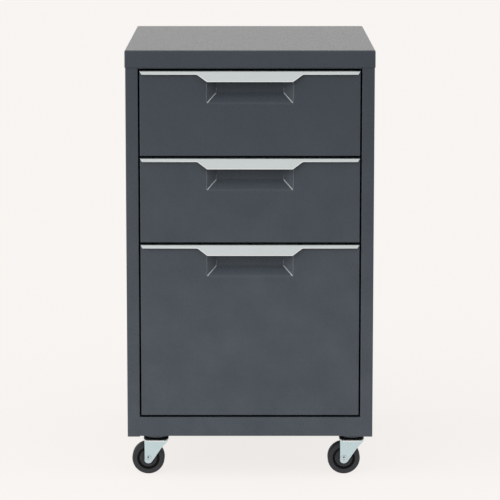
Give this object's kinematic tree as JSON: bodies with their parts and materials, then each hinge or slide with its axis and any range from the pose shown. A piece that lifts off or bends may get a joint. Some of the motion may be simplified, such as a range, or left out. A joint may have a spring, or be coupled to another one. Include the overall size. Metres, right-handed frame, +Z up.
{
  "type": "filing cabinet",
  "caption": "Mobile filing cabinet of folded sheet steel with box drawers over a file drawer, full-width tab pulls, telescopic slides and swivel casters.",
  "frame": {"origin": "on the floor, in the middle of the footprint of the cover and the pulls", "axes": "+X to the right of someone who faces the drawers, +Y to the back, +Z up"},
  "size_m": [0.4, 0.5196, 0.7],
  "materials": {
    "case_paint": "fine-textured satin powder coat, charcoal grey",
    "front_paint": "fine-textured satin powder coat, charcoal grey",
    "tray_paint": "satin powder coat, dark grey",
    "upright_steel": "satin powder coat, dark grey",
    "pull_aluminium": "satin silver, fine brushed along its length",
    "slide_zinc": "bright zinc plating, roll-formed",
    "slide_black": "black electrocoat on roll-formed steel",
    "rail_steel": "bright zinc plating",
    "fork_zinc": "bright zinc plating on pressed steel",
    "bolt_zinc": "zinc plating",
    "bolt_black": "black phosphated steel",
    "plate_steel": "dark grey paint on pressed steel",
    "ring_plastic": "moulded black plastic",
    "wheel_rubber": "moulded dark grey rubber"
  },
  "bodies": {
    "cabinet": {"top_cover": "case_paint", "back_panel": "case_paint", "top_rail": "case_paint", "base_pan": "case_paint", "left_side_panel": "case_paint", "right_side_panel": "case_paint", "front_left_upright": "upright_steel", "rear_left_upright": "upright_steel", "front_right_upright": "upright_steel", "rear_right_upright": "upright_steel", "file_left_slide_outer": "slide_black", "file_right_slide_outer": "slide_black", "middle_left_slide_outer": "slide_black", "middle_right_slide_outer": "slide_black", "top_left_slide_outer": "slide_black", "top_right_slide_outer": "slide_black", "caster_plates": "plate_steel", "caster_kingpins": "bolt_zinc", "caster_dust_rings": "ring_plastic", "caster_bolts": "bolt_black"},
    "file_drawer": {"file_drawer_front": "front_paint", "file_drawer_pull": "pull_aluminium", "file_drawer_tray": "tray_paint", "file_drawer_back": "tray_paint", "file_drawer_liner": "tray_paint", "file_left_slide_inner": "slide_zinc", "file_right_slide_inner": "slide_zinc", "file_rails": "rail_steel"},
    "file_slide_middles": {"file_left_slide_middle": "slide_zinc", "file_right_slide_middle": "slide_zinc"},
    "middle_drawer": {"middle_drawer_front": "front_paint", "middle_drawer_pull": "pull_aluminium", "middle_drawer_tray": "tray_paint", "middle_drawer_back": "tray_paint", "middle_drawer_liner": "tray_paint", "middle_left_slide_inner": "slide_zinc", "middle_right_slide_inner": "slide_zinc"},
    "middle_slide_middles": {"middle_left_slide_middle": "slide_zinc", "middle_right_slide_middle": "slide_zinc"},
    "top_drawer": {"top_drawer_front": "front_paint", "top_drawer_pull": "pull_aluminium", "top_drawer_tray": "tray_paint", "top_drawer_back": "tray_paint", "top_drawer_liner": "tray_paint", "top_left_slide_inner": "slide_zinc", "top_right_slide_inner": "slide_zinc"},
    "top_slide_middles": {"top_left_slide_middle": "slide_zinc", "top_right_slide_middle": "slide_zinc"},
    "front_left_caster": {"front_left_caster_fork": "fork_zinc", "front_left_caster_axle": "bolt_zinc"},
    "front_left_wheel": {"front_left_caster_wheel": "wheel_rubber"},
    "front_right_caster": {"front_right_caster_fork": "fork_zinc", "front_right_caster_axle": "bolt_zinc"},
    "front_right_wheel": {"front_right_caster_wheel": "wheel_rubber"},
    "rear_left_caster": {"rear_left_caster_fork": "fork_zinc", "rear_left_caster_axle": "bolt_zinc"},
    "rear_left_wheel": {"rear_left_caster_wheel": "wheel_rubber"},
    "rear_right_caster": {"rear_right_caster_fork": "fork_zinc", "rear_right_caster_axle": "bolt_zinc"},
    "rear_right_wheel": {"rear_right_caster_wheel": "wheel_rubber"}
  },
  "joints": [
    {"name": "file_drawer_slide", "type": "slide", "parent": "cabinet", "child": "file_drawer", "axis": [0, -1, 0], "range_m": [0, 0.43]},
    {"name": "file_middles_slide", "type": "slide", "parent": "cabinet", "child": "file_slide_middles", "axis": [0, -1, 0], "range_m": [0, 0.215]},
    {"name": "middle_drawer_slide", "type": "slide", "parent": "cabinet", "child": "middle_drawer", "axis": [0, -1, 0], "range_m": [0, 0.43]},
    {"name": "middle_middles_slide", "type": "slide", "parent": "cabinet", "child": "middle_slide_middles", "axis": [0, -1, 0], "range_m": [0, 0.215]},
    {"name": "top_drawer_slide", "type": "slide", "parent": "cabinet", "child": "top_drawer", "axis": [0, -1, 0], "range_m": [0, 0.43]},
    {"name": "top_middles_slide", "type": "slide", "parent": "cabinet", "child": "top_slide_middles", "axis": [0, -1, 0], "range_m": [0, 0.215]},
    {"name": "front_left_swivel", "type": "hinge", "parent": "cabinet", "child": "front_left_caster", "pos_m": [-0.1538, -0.20266, 0.0595], "axis": [0, 0, 1], "continuous": true},
    {"name": "front_left_roll", "type": "hinge", "parent": "front_left_caster", "child": "front_left_wheel", "pos_m": [-0.1669, -0.20266, 0.0265], "axis": [0, 1, 0], "continuous": true},
    {"name": "front_right_swivel", "type": "hinge", "parent": "cabinet", "child": "front_right_caster", "pos_m": [0.1671, -0.20266, 0.0595], "axis": [0, 0, 1], "continuous": true},
    {"name": "front_right_roll", "type": "hinge", "parent": "front_right_caster", "child": "front_right_wheel", "pos_m": [0.154, -0.20266, 0.0265], "axis": [0, 1, 0], "continuous": true},
    {"name": "rear_left_swivel", "type": "hinge", "parent": "cabinet", "child": "rear_left_caster", "pos_m": [-0.1538, 0.21084, 0.0595], "axis": [0, 0, 1], "continuous": true},
    {"name": "rear_left_roll", "type": "hinge", "parent": "rear_left_caster", "child": "rear_left_wheel", "pos_m": [-0.1669, 0.21084, 0.0265], "axis": [0, 1, 0], "continuous": true},
    {"name": "rear_right_swivel", "type": "hinge", "parent": "cabinet", "child": "rear_right_caster", "pos_m": [0.1671, 0.21084, 0.0595], "axis": [0, 0, 1], "continuous": true},
    {"name": "rear_right_roll", "type": "hinge", "parent": "rear_right_caster", "child": "rear_right_wheel", "pos_m": [0.154, 0.21084, 0.0265], "axis": [0, 1, 0], "continuous": true}
  ],
  "couplings": [
    {"joint": "file_middles_slide", "follows": "file_drawer_slide", "ratio": 0.5},
    {"joint": "middle_middles_slide", "follows": "middle_drawer_slide", "ratio": 0.5},
    {"joint": "top_middles_slide", "follows": "top_drawer_slide", "ratio": 0.5}
  ]
}
